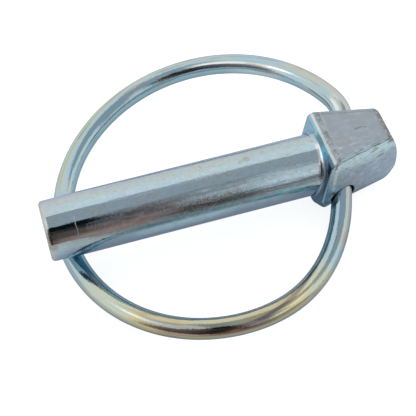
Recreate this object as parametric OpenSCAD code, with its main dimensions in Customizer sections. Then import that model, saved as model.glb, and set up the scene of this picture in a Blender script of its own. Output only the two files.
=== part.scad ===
// Lynch pin: a forged steel pin with a sprung wire ring hinged in its head.
// The pin's own axis is X: the tip is at -X, the head at +X, and the shoulder
// under the head is the origin. The whole part is laid over as it rests on a
// flat table, on the ring's far arc and the back edge of the head.

/* [Shank] */
// diameter of the shank
shank_d = 10; // [8:0.1:14]
// length of the shank from its tip to the shoulder
shank_len = 43.2; // [38:0.1:60]
// length of the slight lead-in at the tip
lead_len = 6.2; // [3:0.1:9]
// how much smaller the lead-in is at the tip, on the radius
lead_drop = 0.1; // [0.05:0.01:0.3]
// how far before the shoulder the root of the shank begins to swell
root_len = 0.4; // [0.2:0.1:1]
// how much the root swells into the head, on the radius
root_swell = 0.05; // [0.02:0.01:0.2]
// rounding of the tip's edge
tip_round = 0.6; // [0.2:0.1:1.5]
// radius of the hollow fillet under the head
cove_r = 1.1; // [0.5:0.1:2]

/* [Head] */
// width across the head at its front, in the plane of the ring
head_w = 12; // [11:0.1:16]
// width across the head at its back end
head_end_w = 6.8; // [5:0.1:12]
// thickness of the head
head_t = 12; // [10:0.1:16]
// shoulder to the head's front face, on the pin's axis
head_front = 1.5; // [1.2:0.1:4]
// length of the head, from its front face to its crowned end
head_len = 13.6; // [11:0.1:18]
// lean of the front face
front_lean = 11.5; // [0:0.5:14]
// radius of the crowned end
crown_r = 12; // [10:0.5:20]
// rounding of the two upper long edges
top_edge_r = 0.6; // [0.3:0.1:1.5]
// rounding of the two lower long edges
low_edge_r = 3; // [1:0.1:3.3]
// bevel over and under the front face and at the crowned end
head_bevel = 0.8; // [0.3:0.1:1.2]
// bevel up the two sides of the front face
side_bevel = 0.3; // [0.2:0.1:1]
// start of the turned bevel on the front corners, outside the shank
turned_rim = 0.7; // [0.4:0.1:1.5]
// height of the bevel under the crowned end
heel = 4.2; // [1:0.1:5]

/* [Ring hole] */
// diameter of the hole through the head for the ring's ends
bore_d = 4; // [3.6:0.1:6]
// shoulder to the middle of the hole
bore_back = 6.7; // [5:0.1:9]
// drop of the middle of the hole below the pin's axis
bore_drop = 1.3; // [0:0.1:2]
// slant of the hole along the pin
bore_yaw = 20; // [0:0.5:24]
// slant of the hole through the head's thickness
bore_pitch = 22; // [0:0.5:24]

/* [Ring] */
// diameter of the ring's wire
wire_d = 3.4; // [2.5:0.1:5]
// mean diameter of the ring
ring_d = 51; // [46:0.1:70]
// how far the middle of the hole lies inside the ring's circle
ring_inset = 4; // [2:0.1:7]
// shift of the ring's centre across the pin
ring_shift = 2.1; // [0:0.1:4]
// slope of the closed ring along the pin
ring_lean = 9.9; // [6:0.1:16]
// slope of the closed ring across the pin
ring_roll = 4.4; // [0:0.1:8]
// space between the closed ring and the shank
ring_gap = 0.2; // [0.1:0.05:0.6]
// where the lower arm leaves the circle, from the head round the ring
low_arm = 121; // [100:1:140]
// where the upper arm leaves the circle, from the head round the ring
high_arm = 20.5; // [15:0.5:40]
// straight length of the lower arm, from the middle of the hole
low_stub = 7.2; // [6:0.1:11]
// straight length of the upper arm, from the middle of the hole
high_stub = 7.5; // [6:0.1:11]
// space between the two wire ends inside the hole
end_gap = 1.2; // [0.6:0.1:4]

/* [Rest] */
// nose-up tilt of the pin as it lies on the table
rest_tilt = 2.75; // [0:0.05:6]
// roll of the pin as it lies on the table
rest_roll = -5.3; // [-10:0.1:10]

/* [Hidden] */
$fn = 64;
shank_r = shank_d / 2;
lead_r = shank_r - lead_drop;
wire_r = wire_d / 2;
ring_r = ring_d / 2;
head_end = head_front + head_len;
// where the crowned end meets the head's upper and lower faces
end_edge = head_end - crown_r + sqrt(crown_r * crown_r - head_t * head_t / 4);
// front face at the upper and lower faces
front_top = head_front + head_t / 2 * tan(front_lean);
front_low = head_front - head_t / 2 * tan(front_lean);
side_taper = atan((head_w - head_end_w) / 2 / (end_edge - front_top));
// half width of the head where its front face crosses the pin's axis
front_half = head_w / 2 + (front_top - head_front) * tan(side_taper);
reach = 3 * (shank_len + head_end);
// the fillet runs this far into the shank and the front face, so that they meet cleanly
cove_bite = 0.08;
// the ring's pieces of wire stop this far short of the knuckle that joins them
knuckle = 0.1;
// the knuckles stand this far proud of the wire
swell = 0.02;

// hole axis and the ring's plane
bore_mid = [bore_back, 0, -bore_drop];
bore_dir = unit([tan(bore_yaw), 1, tan(bore_pitch)]);
ring_u = [cos(ring_lean), 0, sin(ring_lean)];
ring_v = [-sin(ring_lean) * sin(ring_roll), cos(ring_roll), cos(ring_lean) * sin(ring_roll)];
under = (lead_r + wire_r + ring_gap) / cos(ring_roll);
ring_mid = [
    bore_back - (ring_r - ring_inset),
    ring_shift,
    sqrt(ring_r * ring_r - ring_shift * ring_shift) * sin(ring_lean)
        + ring_shift * tan(ring_roll) - under
];

function unit(v) = v / norm(v);
// point on the ring's circle and the direction of travel there
function on_ring(a) = ring_mid + ring_r * (cos(a) * ring_u + sin(a) * ring_v);
function along_ring(a) = -sin(a) * ring_u + cos(a) * ring_v;
// middle point of two equal-tangent arcs from p along t to q along w
function blend_len(v, t, w) =
    let (s = v * (t + w), k = 2 * (1 - t * w))
    (sqrt(s * s + k * (v * v)) - s) / k;
function blend_mid(p, t, q, w) =
    let (d = blend_len(q - p, t, w))
    (p + q + d * (t - w)) / 2;

// outline of the turned shank: rounded tip, lead-in, straight wall and swelling root
module shank_outline() {
    inside = head_front + 2 * cove_r;
    polygon([
        [0, tip_round - shank_len],
        [lead_r, tip_round - shank_len],
        [shank_r, lead_len - shank_len],
        [shank_r, -root_len],
        [shank_r + root_swell, inside],
        [0, inside]
    ]);
    translate([0, -shank_len]) square([lead_r - tip_round, lead_len / 2]);
    translate([lead_r - tip_round, tip_round - shank_len]) circle(tip_round);
}

// hollow fillet that leads the shank into the leaning front face
module cove() {
    root = shank_r + cove_r - cove_bite;
    start = cove_r - cove_bite;
    translate([head_front, 0, -start * sin(front_lean)])
        rotate([0, 90 + front_lean, 0])
            rotate_extrude($fn = 96)
                difference() {
                    translate([0, -start]) square([root, 3 * cove_r]);
                    translate([root, -start]) circle(cove_r);
                }
}

// one side of the head in section, measured inward from its side face
module side_outline() {
    half = head_t / 2;
    translate([-reach, -half]) square([reach - low_edge_r, head_t]);
    translate([-reach, low_edge_r - half]) square([reach, head_t - low_edge_r - top_edge_r]);
    translate([-reach, 0]) square([reach - top_edge_r, half]);
    translate([-low_edge_r, low_edge_r - half]) circle(low_edge_r);
    translate([-top_edge_r, half - top_edge_r]) circle(top_edge_r);
}

// everything inside the two tapered side faces and between top and bottom
module head_sides() {
    intersection_for(side = [0, 1])
        mirror([0, side, 0])
            translate([front_top, head_w / 2, 0])
                rotate([0, 0, -side_taper])
                    translate([-reach, 0, 0])
                        rotate([90, 0, 90])
                            linear_extrude(2 * reach) side_outline();
}

// the head seen from the side: leaning front face, bevels and crowned end
module head_length() {
    half = head_t / 2;
    rotate([90, 0, 0])
        linear_extrude(2 * head_w, center = true)
            intersection() {
                translate([head_end - crown_r, 0]) circle(crown_r, $fn = 128);
                polygon([
                    [front_low + head_bevel, -half],
                    [front_low + head_bevel * tan(front_lean), -half + head_bevel],
                    [front_top - head_bevel * tan(front_lean), half - head_bevel],
                    [front_top + head_bevel, half],
                    [end_edge - head_bevel / 2, half],
                    [head_end, half - 2 * head_bevel],
                    [head_end, heel - half],
                    [end_edge - heel / 3, -half]
                ]);
            }
}

// bevels up the two front corners of the head, along the leaning front face
module head_plan() {
    translate([head_front, 0, 0])
        rotate([0, front_lean, 0])
            linear_extrude(2 * head_t, center = true)
                polygon([
                    [-side_bevel, 2 * side_bevel - front_half],
                    [-side_bevel, front_half - 2 * side_bevel],
                    [head_t, front_half - side_bevel + head_t],
                    [2 * head_len, front_half - side_bevel + head_t],
                    [2 * head_len, side_bevel - head_t - front_half],
                    [head_t, side_bevel - head_t - front_half]
                ]);
}

// turned bevel that takes the corners off the front face
module head_turned() {
    rotate([0, 90, 0])
        cylinder(r1 = shank_r + turned_rim, r2 = shank_r + turned_rim + head_end, h = head_end);
}

// slanted hole for the ring's two ends
module ring_bore() {
    translate(bore_mid)
        rotate([0, 0, 90 - bore_yaw])
            rotate([0, 90 - atan(tan(bore_pitch) * cos(bore_yaw)), 0])
                cylinder(d = bore_d, h = 4 * head_w, center = true);
}

// straight piece of wire from the knuckle at p to the cut end at q
module wire(p, q) {
    d = q - p;
    translate(p)
        rotate([0, 0, atan2(d[1], d[0])])
            rotate([0, atan2(norm([d[0], d[1]]), d[2]), 0])
                translate([0, 0, knuckle]) cylinder(r = wire_r, h = norm(d) - knuckle);
}

// curved piece of wire that leaves the knuckle at p along t and ends at the one at q
module wire_arc(p, t, q) {
    d = q - p;
    n = unit(d - t * (d * t));
    rad = d * d / (2 * (n * d));
    b = cross(-n, t);
    trim = asin(knuckle / rad);
    multmatrix([
        [-n[0], t[0], b[0], p[0] + n[0] * rad],
        [-n[1], t[1], b[1], p[1] + n[1] * rad],
        [-n[2], t[2], b[2], p[2] + n[2] * rad],
        [0, 0, 0, 1]
    ])
        rotate([0, 0, trim])
            rotate_extrude(angle = 2 * atan2(n * d, t * d) - 2 * trim, $fn = 96)
                translate([rad, 0]) circle(wire_r, $fn = 32);
}

// knuckles that join the pieces of wire
module knuckles(points) {
    for (p = points)
        translate(p) sphere(wire_r + swell, $fn = 48);
}

// laid over as it rests
module lie() {
    rotate([rest_roll, rest_tilt, 0]) children();
}

module pin() {
    color("silver")
        difference() {
            intersection() {
                head_sides();
                union() {
                    rotate([0, 90, 0]) rotate_extrude($fn = 96) shank_outline();
                    cove();
                    intersection() {
                        head_length();
                        head_plan();
                        head_turned();
                    }
                }
            }
            ring_bore();
        }
}

module ring() {
    high = on_ring(high_arm);
    low = on_ring(-low_arm);
    high_end = bore_mid + high_stub * bore_dir;
    low_end = bore_mid - low_stub * bore_dir;
    high_blend = blend_mid(high, -along_ring(high_arm), high_end, -bore_dir);
    low_blend = blend_mid(low, along_ring(-low_arm), low_end, bore_dir);
    color("gainsboro") {
        wire_arc(high, along_ring(high_arm), low);
        wire_arc(high, -along_ring(high_arm), high_blend);
        wire_arc(high_end, bore_dir, high_blend);
        wire(high_end, bore_mid + end_gap / 2 * bore_dir);
        wire_arc(low, along_ring(-low_arm), low_blend);
        wire_arc(low_end, -bore_dir, low_blend);
        wire(low_end, bore_mid - end_gap / 2 * bore_dir);
        knuckles([high, high_blend, high_end, low, low_blend, low_end]);
    }
}

lie() pin();
lie() ring();
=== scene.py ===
import math

import bpy
import numpy as np
from mathutils import Matrix, Vector


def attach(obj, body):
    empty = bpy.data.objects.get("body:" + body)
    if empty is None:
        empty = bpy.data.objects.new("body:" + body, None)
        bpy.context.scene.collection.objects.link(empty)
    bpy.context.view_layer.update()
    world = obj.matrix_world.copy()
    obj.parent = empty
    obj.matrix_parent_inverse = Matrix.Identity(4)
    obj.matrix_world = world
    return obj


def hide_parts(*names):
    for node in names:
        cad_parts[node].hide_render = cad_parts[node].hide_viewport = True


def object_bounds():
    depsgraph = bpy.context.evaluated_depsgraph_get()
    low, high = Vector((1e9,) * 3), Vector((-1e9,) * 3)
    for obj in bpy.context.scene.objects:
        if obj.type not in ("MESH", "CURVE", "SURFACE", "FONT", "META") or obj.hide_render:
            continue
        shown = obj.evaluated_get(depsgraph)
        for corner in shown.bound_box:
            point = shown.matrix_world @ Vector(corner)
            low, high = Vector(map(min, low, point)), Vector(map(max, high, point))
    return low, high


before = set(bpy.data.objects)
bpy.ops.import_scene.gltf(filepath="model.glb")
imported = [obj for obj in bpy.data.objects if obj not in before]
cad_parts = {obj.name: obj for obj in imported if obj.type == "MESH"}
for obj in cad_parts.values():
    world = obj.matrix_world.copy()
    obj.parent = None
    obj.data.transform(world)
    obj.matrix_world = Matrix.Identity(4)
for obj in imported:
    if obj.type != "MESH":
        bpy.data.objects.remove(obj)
cad_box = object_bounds()

MM = 0.001

# Sizes of the pin and its ring, in millimetres and degrees, in the pin's own frame:
# X along the shank, tip at -X, shoulder at the origin

REST_ROLL = -5.3
REST_TILT = 2.75

SHANK_R = 5.0
SHANK_LEN = 43.2
LEAD_LEN = 6.2
LEAD_DROP = 0.1
TIP_ROUND = 0.6
COVE_R = 1.1

HEAD_W = 12.0
HEAD_END_W = 6.8
HEAD_T = 12.0
HEAD_FRONT = 1.5
HEAD_LEN = 13.6
FRONT_LEAN = 11.5
CROWN_R = 12.0
LOW_EDGE_R = 3.0
HEAD_BEVEL = 0.8
SIDE_BEVEL = 0.3
TURNED_RIM = 0.7
HEEL = 4.2

BORE_R = 2.0
BORE_BACK = 6.7
BORE_DROP = 1.3
BORE_YAW = 20.0
BORE_PITCH = 22.0

WIRE_R = 1.7
RING_R = 25.5
RING_INSET = 4.0
RING_SHIFT = 2.1
RING_LEAN = 9.9
RING_ROLL = 4.4
RING_GAP = 0.2
LOW_ARM = 121.0
HIGH_ARM = 20.5
LOW_STUB = 7.2
HIGH_STUB = 7.5
END_GAP = 1.2

# Softness of the pin's edges

FORGED_EDGE = 0.22
UPPER_EDGE = 0.3
FILLET = 0.75
HOLE_EDGE = 0.35

# Fineness of the meshes

VOXEL = 0.2
SLOPE_STEP = 0.01
LEAST_SLOPE = 0.05
SETTLE_ROUNDS = 4
RELAX_ROUNDS = 4
RELAX_SHARE = 0.6
RELAX_SETTLE_ROUNDS = 2
WIRE_STEP = 0.3
WIRE_SIDES = 48
WIRE_END = 0.25
STUB_POINTS = 24
LEAST_ARC_POINTS = 3


def tan_d(angle):
    return math.tan(math.radians(angle))


def sin_d(angle):
    return math.sin(math.radians(angle))


def cos_d(angle):
    return math.cos(math.radians(angle))


def unit(vector):
    return np.asarray(vector, float) / np.linalg.norm(vector)


def lengths(vectors):
    return np.linalg.norm(vectors, axis=1)


# How the part rests: from the pin's own frame to the frame of the scene
TILT = Matrix.Rotation(math.radians(REST_TILT), 3, "Y")
ROLL = Matrix.Rotation(math.radians(REST_ROLL), 3, "X")
LIE = np.array(TILT @ ROLL)

HALF_T = HEAD_T / 2
HALF_W = HEAD_W / 2
HEAD_END = HEAD_FRONT + HEAD_LEN
END_EDGE = HEAD_END - CROWN_R + math.sqrt(CROWN_R ** 2 - HALF_T ** 2)
FRONT_TOP = HEAD_FRONT + HALF_T * tan_d(FRONT_LEAN)
FRONT_LOW = HEAD_FRONT - HALF_T * tan_d(FRONT_LEAN)
SIDE_TAPER = math.atan((HEAD_W - HEAD_END_W) / 2 / (END_EDGE - FRONT_TOP))
TAPER_COS = math.cos(SIDE_TAPER)
TAPER_SIN = math.sin(SIDE_TAPER)
FRONT_HALF = HALF_W + (FRONT_TOP - HEAD_FRONT) * math.tan(SIDE_TAPER)
BORE_MID = np.array([BORE_BACK, 0.0, -BORE_DROP])
BORE_DIR = unit([tan_d(BORE_YAW), 1.0, tan_d(BORE_PITCH)])


# Solid forms as distances: below zero is inside

def soft_max(a, b, width):
    near = np.maximum(width - np.abs(a - b), 0) / width
    return np.maximum(a, b) + near * near * width / 4


def round_max(a, b, radius):
    u = np.maximum(a + radius, 0)
    v = np.maximum(b + radius, 0)
    return np.minimum(np.maximum(a, b) + radius, 0) + np.sqrt(u * u + v * v) - radius


def fillet_min(a, b, radius):
    u = np.maximum(radius - a, 0)
    v = np.maximum(radius - b, 0)
    return np.maximum(np.minimum(a, b), radius) - np.sqrt(u * u + v * v)


def edge_line(x, z, start, end):
    """Distance outside the line from start to end, which has the solid on its right."""
    way = unit(np.subtract(end, start))
    return (z - start[1]) * way[0] - (x - start[0]) * way[1]


def shank_form(p):
    x = p[:, 0]
    lead = np.clip((LEAD_LEN - SHANK_LEN - x) / LEAD_LEN, 0, 1)
    wall = np.hypot(p[:, 1], p[:, 2]) - (SHANK_R - LEAD_DROP * lead)
    return np.maximum(round_max(wall, -SHANK_LEN - x, TIP_ROUND), x - HEAD_FRONT - COVE_R)


def head_form(p):
    x, y, z = p.T
    side_y = np.abs(y)
    side = (side_y - HALF_W) * TAPER_COS + (x - FRONT_TOP) * TAPER_SIN
    upper = round_max(side, z - HALF_T, UPPER_EDGE)
    lower = round_max(side, -z - HALF_T, LOW_EDGE_R)
    form = np.where(z > 0, upper, lower)
    into = (x - HEAD_FRONT) * cos_d(FRONT_LEAN) - z * sin_d(FRONT_LEAN)
    corner = (side_y - FRONT_HALF + SIDE_BEVEL - into) / math.sqrt(2)
    turned = (np.hypot(y, z) - SHANK_R - TURNED_RIM - x) / math.sqrt(2)
    back = tan_d(FRONT_LEAN) * HEAD_BEVEL
    top = edge_line(x, z, (FRONT_TOP - back, HALF_T - HEAD_BEVEL), (FRONT_TOP + HEAD_BEVEL, HALF_T))
    low = edge_line(x, z, (FRONT_LOW + HEAD_BEVEL, -HALF_T), (FRONT_LOW + back, HEAD_BEVEL - HALF_T))
    crown = np.hypot(x - HEAD_END + CROWN_R, z) - CROWN_R
    back_top = edge_line(x, z, (END_EDGE - HEAD_BEVEL / 2, HALF_T), (HEAD_END, HALF_T - 2 * HEAD_BEVEL))
    back_low = edge_line(x, z, (HEAD_END, HEEL - HALF_T), (END_EDGE - HEEL / 3, -HALF_T))
    for face in (-into, corner, turned, top, low, crown, back_top, back_low):
        form = soft_max(form, face, FORGED_EDGE)
    return form


def bore_form(p):
    q = p - BORE_MID
    return lengths(q - np.outer(q @ BORE_DIR, BORE_DIR)) - BORE_R


def pin_form(p):
    return soft_max(fillet_min(shank_form(p), head_form(p), FILLET), -bore_form(p), HOLE_EDGE)


def slope(form, p):
    rise = np.empty_like(p)
    for axis in range(3):
        step = np.zeros(3)
        step[axis] = SLOPE_STEP
        rise[:, axis] = (form(p + step) - form(p - step)) / (2 * SLOPE_STEP)
    return rise


def settle(form, p, rounds):
    """Moves points onto the form's surface."""
    for _ in range(rounds):
        rise = slope(form, p)
        p = p - rise * (form(p) / np.maximum((rise * rise).sum(1), LEAST_SLOPE))[:, None]
    return p


# Meshes

def add_object(name, data):
    obj = bpy.data.objects.new(name, data)
    bpy.context.scene.collection.objects.link(obj)
    return obj


def put_vectors(mesh, name, values):
    layer = mesh.attributes.new(name, "FLOAT_VECTOR", "POINT")
    layer.data.foreach_set("vector", np.asarray(values, np.float32).ravel())


def put_floats(mesh, name, values):
    layer = mesh.attributes.new(name, "FLOAT", "POINT")
    layer.data.foreach_set("value", np.asarray(values, np.float32))


def finish_mesh(name, points, faces, normals):
    """A smooth mesh from points and normals in the pin's own frame, laid as it rests."""
    mesh = bpy.data.meshes.new(name)
    mesh.from_pydata((points @ LIE.T * MM).tolist(), [], faces)
    mesh.shade_smooth()
    mesh.normals_split_custom_set_from_vertices((normals @ LIE.T).tolist())
    put_vectors(mesh, "own", points)
    put_vectors(mesh, "facing", normals)
    return mesh


def make_pin():
    """The forged pin: a fine even mesh over the solid, settled on its rounded form."""
    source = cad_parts["pin"].data.copy()
    source.transform(Matrix.Scale(1 / MM, 4))
    rough = add_object("pin_rough", source)
    remesh = rough.modifiers.new("even", "REMESH")
    remesh.mode = "VOXEL"
    remesh.voxel_size = VOXEL
    even = rough.evaluated_get(bpy.context.evaluated_depsgraph_get()).to_mesh()
    places = np.empty(len(even.vertices) * 3)
    even.vertices.foreach_get("co", places)
    p = places.reshape(-1, 3) @ LIE
    faces = [tuple(face.vertices) for face in even.polygons]
    edges = np.empty(len(even.edges) * 2, int)
    even.edges.foreach_get("vertices", edges)
    edges = edges.reshape(-1, 2)
    bpy.data.objects.remove(rough)
    p = settle(pin_form, p, SETTLE_ROUNDS)
    count = np.bincount(edges.ravel(), minlength=len(p))[:, None]
    for _ in range(RELAX_ROUNDS):
        total = np.zeros_like(p)
        np.add.at(total, edges[:, 0], p[edges[:, 1]])
        np.add.at(total, edges[:, 1], p[edges[:, 0]])
        p = settle(pin_form, p + RELAX_SHARE * (total / count - p), RELAX_SETTLE_ROUNDS)
    normals = slope(pin_form, p)
    normals /= lengths(normals)[:, None]
    return add_object("pin_forging", finish_mesh("pin_forging", p, faces, normals))


# Ring: wire bent along arcs, with both ends in the head's hole

RING_U = np.array([cos_d(RING_LEAN), 0.0, sin_d(RING_LEAN)])
RING_V = np.array([
    -sin_d(RING_LEAN) * sin_d(RING_ROLL), cos_d(RING_ROLL), cos_d(RING_LEAN) * sin_d(RING_ROLL)])
RING_W = np.cross(RING_U, RING_V)
RING_UNDER = (SHANK_R - LEAD_DROP + WIRE_R + RING_GAP) / cos_d(RING_ROLL)
RING_REACH = math.sqrt(RING_R ** 2 - RING_SHIFT ** 2)
RING_MID = np.array([
    BORE_BACK - RING_R + RING_INSET, RING_SHIFT,
    RING_REACH * sin_d(RING_LEAN) + RING_SHIFT * tan_d(RING_ROLL) - RING_UNDER])


def on_ring(angle):
    return RING_MID + RING_R * (cos_d(angle) * RING_U + sin_d(angle) * RING_V)


def along_ring(angle):
    return cos_d(angle) * RING_V - sin_d(angle) * RING_U


def arc(start, way, end):
    """Points of the arc that leaves start along way and ends at end."""
    chord = end - start
    inward = unit(chord - way * (chord @ way))
    radius = chord @ chord / (2 * (inward @ chord))
    sweep = 2 * math.atan2(inward @ chord, way @ chord)
    count = max(LEAST_ARC_POINTS, int(radius * sweep / WIRE_STEP))
    turn = np.linspace(0, sweep, count)[:, None]
    return start + radius * (np.sin(turn) * way + (1 - np.cos(turn)) * inward)


def blend_mid(start, way, end, end_way):
    """Where two arcs of equal tangents meet, from start along way to end along end_way."""
    chord = end - start
    s = chord @ (way + end_way)
    k = 2 * (1 - way @ end_way)
    tangent = (math.sqrt(s * s + k * (chord @ chord)) - s) / k
    return (start + end + tangent * (way - end_way)) / 2


def stub(start, end):
    """Points along the hole, at distances from its middle."""
    return BORE_MID + np.linspace(start, end, STUB_POINTS)[:, None] * BORE_DIR


def ring_path():
    high = on_ring(HIGH_ARM)
    low = on_ring(-LOW_ARM)
    high_way = along_ring(HIGH_ARM)
    low_way = along_ring(-LOW_ARM)
    high_end = BORE_MID + HIGH_STUB * BORE_DIR
    low_end = BORE_MID - LOW_STUB * BORE_DIR
    high_mid = blend_mid(high, -high_way, high_end, -BORE_DIR)
    low_mid = blend_mid(low, low_way, low_end, BORE_DIR)
    parts = [
        stub(END_GAP / 2, HIGH_STUB),
        arc(high_end, BORE_DIR, high_mid),
        arc(high, -high_way, high_mid)[::-1],
        arc(high, high_way, low),
        arc(low, low_way, low_mid),
        arc(low_end, -BORE_DIR, low_mid)[::-1],
        stub(-LOW_STUB, -END_GAP / 2)]
    return np.vstack([parts[0]] + [part[1:] for part in parts[1:]])


def make_ring():
    """The wire ring, swept along its path, with chamfered cut ends."""
    path = ring_path()
    ahead = np.gradient(path, axis=0)
    ahead /= lengths(ahead)[:, None]
    across = np.cross(RING_W, ahead)
    across /= lengths(across)[:, None]
    above = np.cross(ahead, across)
    length = np.r_[0, np.cumsum(lengths(np.diff(path, axis=0)))]
    turn = np.linspace(0, 2 * math.pi, WIRE_SIDES, endpoint=False)
    turn_cos = np.cos(turn)
    turn_sin = np.sin(turn)
    normals = across[:, None] * turn_cos[None, :, None] + above[:, None] * turn_sin[None, :, None]
    radius = np.full(len(path), WIRE_R)
    radius[[0, -1]] -= WIRE_END
    points = path[:, None] + normals * radius[:, None, None]
    n = len(path)
    m = WIRE_SIDES
    faces = [(i * m + j, i * m + (j + 1) % m, (i + 1) * m + (j + 1) % m, (i + 1) * m + j)
             for i in range(n - 1) for j in range(m)]
    faces += [tuple(range(m))[::-1], tuple((n - 1) * m + j for j in range(m))]
    mesh = finish_mesh("ring_wire", points.reshape(-1, 3), faces, normals.reshape(-1, 3))
    on_wire = [np.repeat(length, m), np.tile(turn_cos, n), np.tile(turn_sin, n)]
    put_vectors(mesh, "wire", np.stack(on_wire, 1))
    from_mid = path - RING_MID
    angle = np.degrees(np.arctan2(from_mid @ RING_V, from_mid @ RING_U)) % 360
    put_floats(mesh, "round", np.repeat(angle, m))
    return add_object("ring_wire", mesh)


# Sockets of Blender's mix node, which has some for numbers and others for colours

MIX_SHARE = 0
MIX_NUMBERS = (2, 3)
MIX_COLOURS = (6, 7)
MIX_NUMBER = 0
MIX_COLOUR = 2

NOISE_MID = 0.5


class Nodes:
    """Fills a node tree and gives back the outputs of the nodes that it adds."""

    def __init__(self, owner):
        owner.use_nodes = True
        self.tree = owner.node_tree
        self.tree.nodes.clear()

    def feed(self, socket, value):
        """Links an output to a socket, or sets a constant on it."""
        if isinstance(value, bpy.types.NodeSocket):
            self.tree.links.new(value, socket)
        else:
            socket.default_value = value

    def add(self, kind, inputs=None, **settings):
        made = self.tree.nodes.new(kind)
        for key, value in settings.items():
            setattr(made, key, value)
        for key, value in (inputs or {}).items():
            self.feed(made.inputs[key], value)
        return made

    def finish(self, shader, kind="ShaderNodeOutputMaterial"):
        self.add(kind, {"Surface": shader.outputs[0]})

    def attribute(self, name, output="Vector"):
        return self.add("ShaderNodeAttribute", attribute_name=name).outputs[output]

    def split(self, vector):
        return tuple(self.add("ShaderNodeSeparateXYZ", {0: vector}).outputs)

    def position(self):
        return self.split(self.add("ShaderNodeNewGeometry").outputs["Position"])

    def calc(self, operation, first, *others):
        for other in others:
            first = self.add("ShaderNodeMath", {0: first, 1: other}, operation=operation).outputs[0]
        return first

    def plus(self, *terms):
        return self.calc("ADD", *terms)

    def minus(self, a, b):
        return self.calc("SUBTRACT", a, b)

    def times(self, *factors):
        return self.calc("MULTIPLY", *factors)

    def either(self, *masks):
        return self.calc("MAXIMUM", *masks)

    def vector(self, operation, output, inputs):
        return self.add("ShaderNodeVectorMath", inputs, operation=operation).outputs[output]

    def dot(self, where, way):
        return self.vector("DOT_PRODUCT", "Value", {0: where, 1: way})

    def ramp(self, value, low, high, least=0.0, most=1.0, kind="SMOOTHSTEP"):
        """From least at low to most at high."""
        steps = {"From Min": low, "From Max": high, "To Min": least, "To Max": most}
        return self.add("ShaderNodeMapRange", {"Value": value, **steps}, interpolation_type=kind).outputs[0]

    def ramp_line(self, value, low, high, least, most):
        return self.ramp(value, low, high, least, most, "LINEAR")

    def band(self, value, low, high, fade):
        """1 between low and high, fading to 0 within fade outside them."""
        return self.times(self.ramp(value, low - fade, low), self.ramp(value, high, high + fade, 1.0, 0.0))

    def line(self, across, half, fade):
        """1 within half of zero, fading to 0 within fade outside that."""
        away = self.add("ShaderNodeMath", {0: across}, operation="ABSOLUTE").outputs[0]
        return self.ramp(away, half, half + fade, 1.0, 0.0)

    def spot(self, where, centre, radius, fade):
        away = self.vector("DISTANCE", "Value", {0: where, 1: centre})
        return self.ramp(away, radius, radius + fade, 1.0, 0.0)

    def shank_line(self, own, turn, half, fade):
        """A lengthwise mark on the shank at a turn in degrees, where 0 is its near side and 90 its top."""
        height = self.dot(own, (0.0, -cos_d(turn), sin_d(turn)))
        return self.ramp(height, SHANK_R * cos_d(half + fade), SHANK_R * cos_d(half))

    def noise(self, where, scale, detail, along=1.0):
        """Noise from 0 to 1, drawn out along the first axis where along is less than 1."""
        where = self.vector("MULTIPLY", "Vector", {0: where, 1: (along, 1.0, 1.0)})
        made = self.add("ShaderNodeTexNoise", {"Vector": where, "Scale": scale, "Detail": detail})
        return made.outputs["Fac"]

    def sway(self, noise, amount):
        """Noise to either side of zero."""
        return self.times(self.minus(noise, NOISE_MID), amount)

    def blend(self, share, a, b):
        made = self.add("ShaderNodeMix", {MIX_SHARE: share, MIX_NUMBERS[0]: a, MIX_NUMBERS[1]: b})
        return made.outputs[MIX_NUMBER]

    def mix(self, share, a, b):
        made = self.add("ShaderNodeMix", {MIX_SHARE: share}, data_type="RGBA")
        for key, colour in zip(MIX_COLOURS, (a, b)):
            self.feed(made.inputs[key], (*colour, 1.0) if isinstance(colour, tuple) else colour)
        return made.outputs[MIX_COLOUR]

    def coat(self, base, paint, *masks):
        """The base colour with a paint over it where all the masks let it show."""
        return self.mix(self.times(*masks), base, paint)

    def metal(self, colour, roughness, height, strength, depth):
        bump = self.add("ShaderNodeBump", {"Height": height, "Strength": strength, "Distance": depth})
        self.finish(self.add("ShaderNodeBsdfPrincipled", {
            "Base Color": colour, "Metallic": 1.0, "Roughness": roughness,
            "Specular Tint": (*EDGE_TINT, 1.0), "Normal": bump.outputs["Normal"]}))


# Colours of the zinc, the forged steel and the marks on them, and of light and shade painted on them

EDGE_TINT = (0.70, 0.68, 0.84)
ZINC = (0.56, 0.70, 0.76)
ZINC_WARM = (0.63, 0.69, 0.68)
ZINC_PINK = (0.60, 0.62, 0.69)
FROST = (0.62, 0.63, 0.60)
FROST_BLUE = (0.48, 0.66, 0.74)
BELLY_BLUE = (0.46, 0.65, 0.80)
# SLATE to CYAN colour the painted reflection bands on the shank
SLATE = (0.16, 0.38, 0.50)
FLANK_LIGHT = (0.62, 0.88, 1.0)
CREST_BLUE = (0.57, 0.77, 0.86)
CREST_WARM = (0.58, 0.66, 0.62)
DARK_REFLECTION = (0.13, 0.13, 0.12)
UMBER = (0.22, 0.15, 0.14)
CYAN = (0.42, 0.92, 1.0)
TIP_WARM = (0.66, 0.68, 0.60)
# FORGED_TOP and FORGED_SIDE are shaded and lit copies of the forging's colour, and FORGED_LIGHT is painted
# light
FORGED_TOP = (0.385, 0.45, 0.51)
FORGED_SIDE = (0.44, 0.56, 0.66)
FORGED_ROSE = (0.44, 0.39, 0.39)
FORGED_PALE = (0.54, 0.63, 0.69)
FORGED_LIGHT = (0.70, 0.95, 1.0)
FORGED_OLIVE = (0.29, 0.295, 0.25)
# TURNED_BLUE to TURNED_VIVID colour the painted reflections on the head's turned front
TURNED_BLUE = (0.36, 0.60, 0.72)
TURNED_NAVY = (0.15, 0.25, 0.33)
TURNED_TEAL = (0.14, 0.34, 0.42)
TURNED_DARK = (0.15, 0.30, 0.37)
TURNED_VIVID = (0.16, 0.44, 0.62)
CORNER_BLUE = (0.38, 0.63, 0.78)
STRIP = (0.36, 0.42, 0.44)
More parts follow.
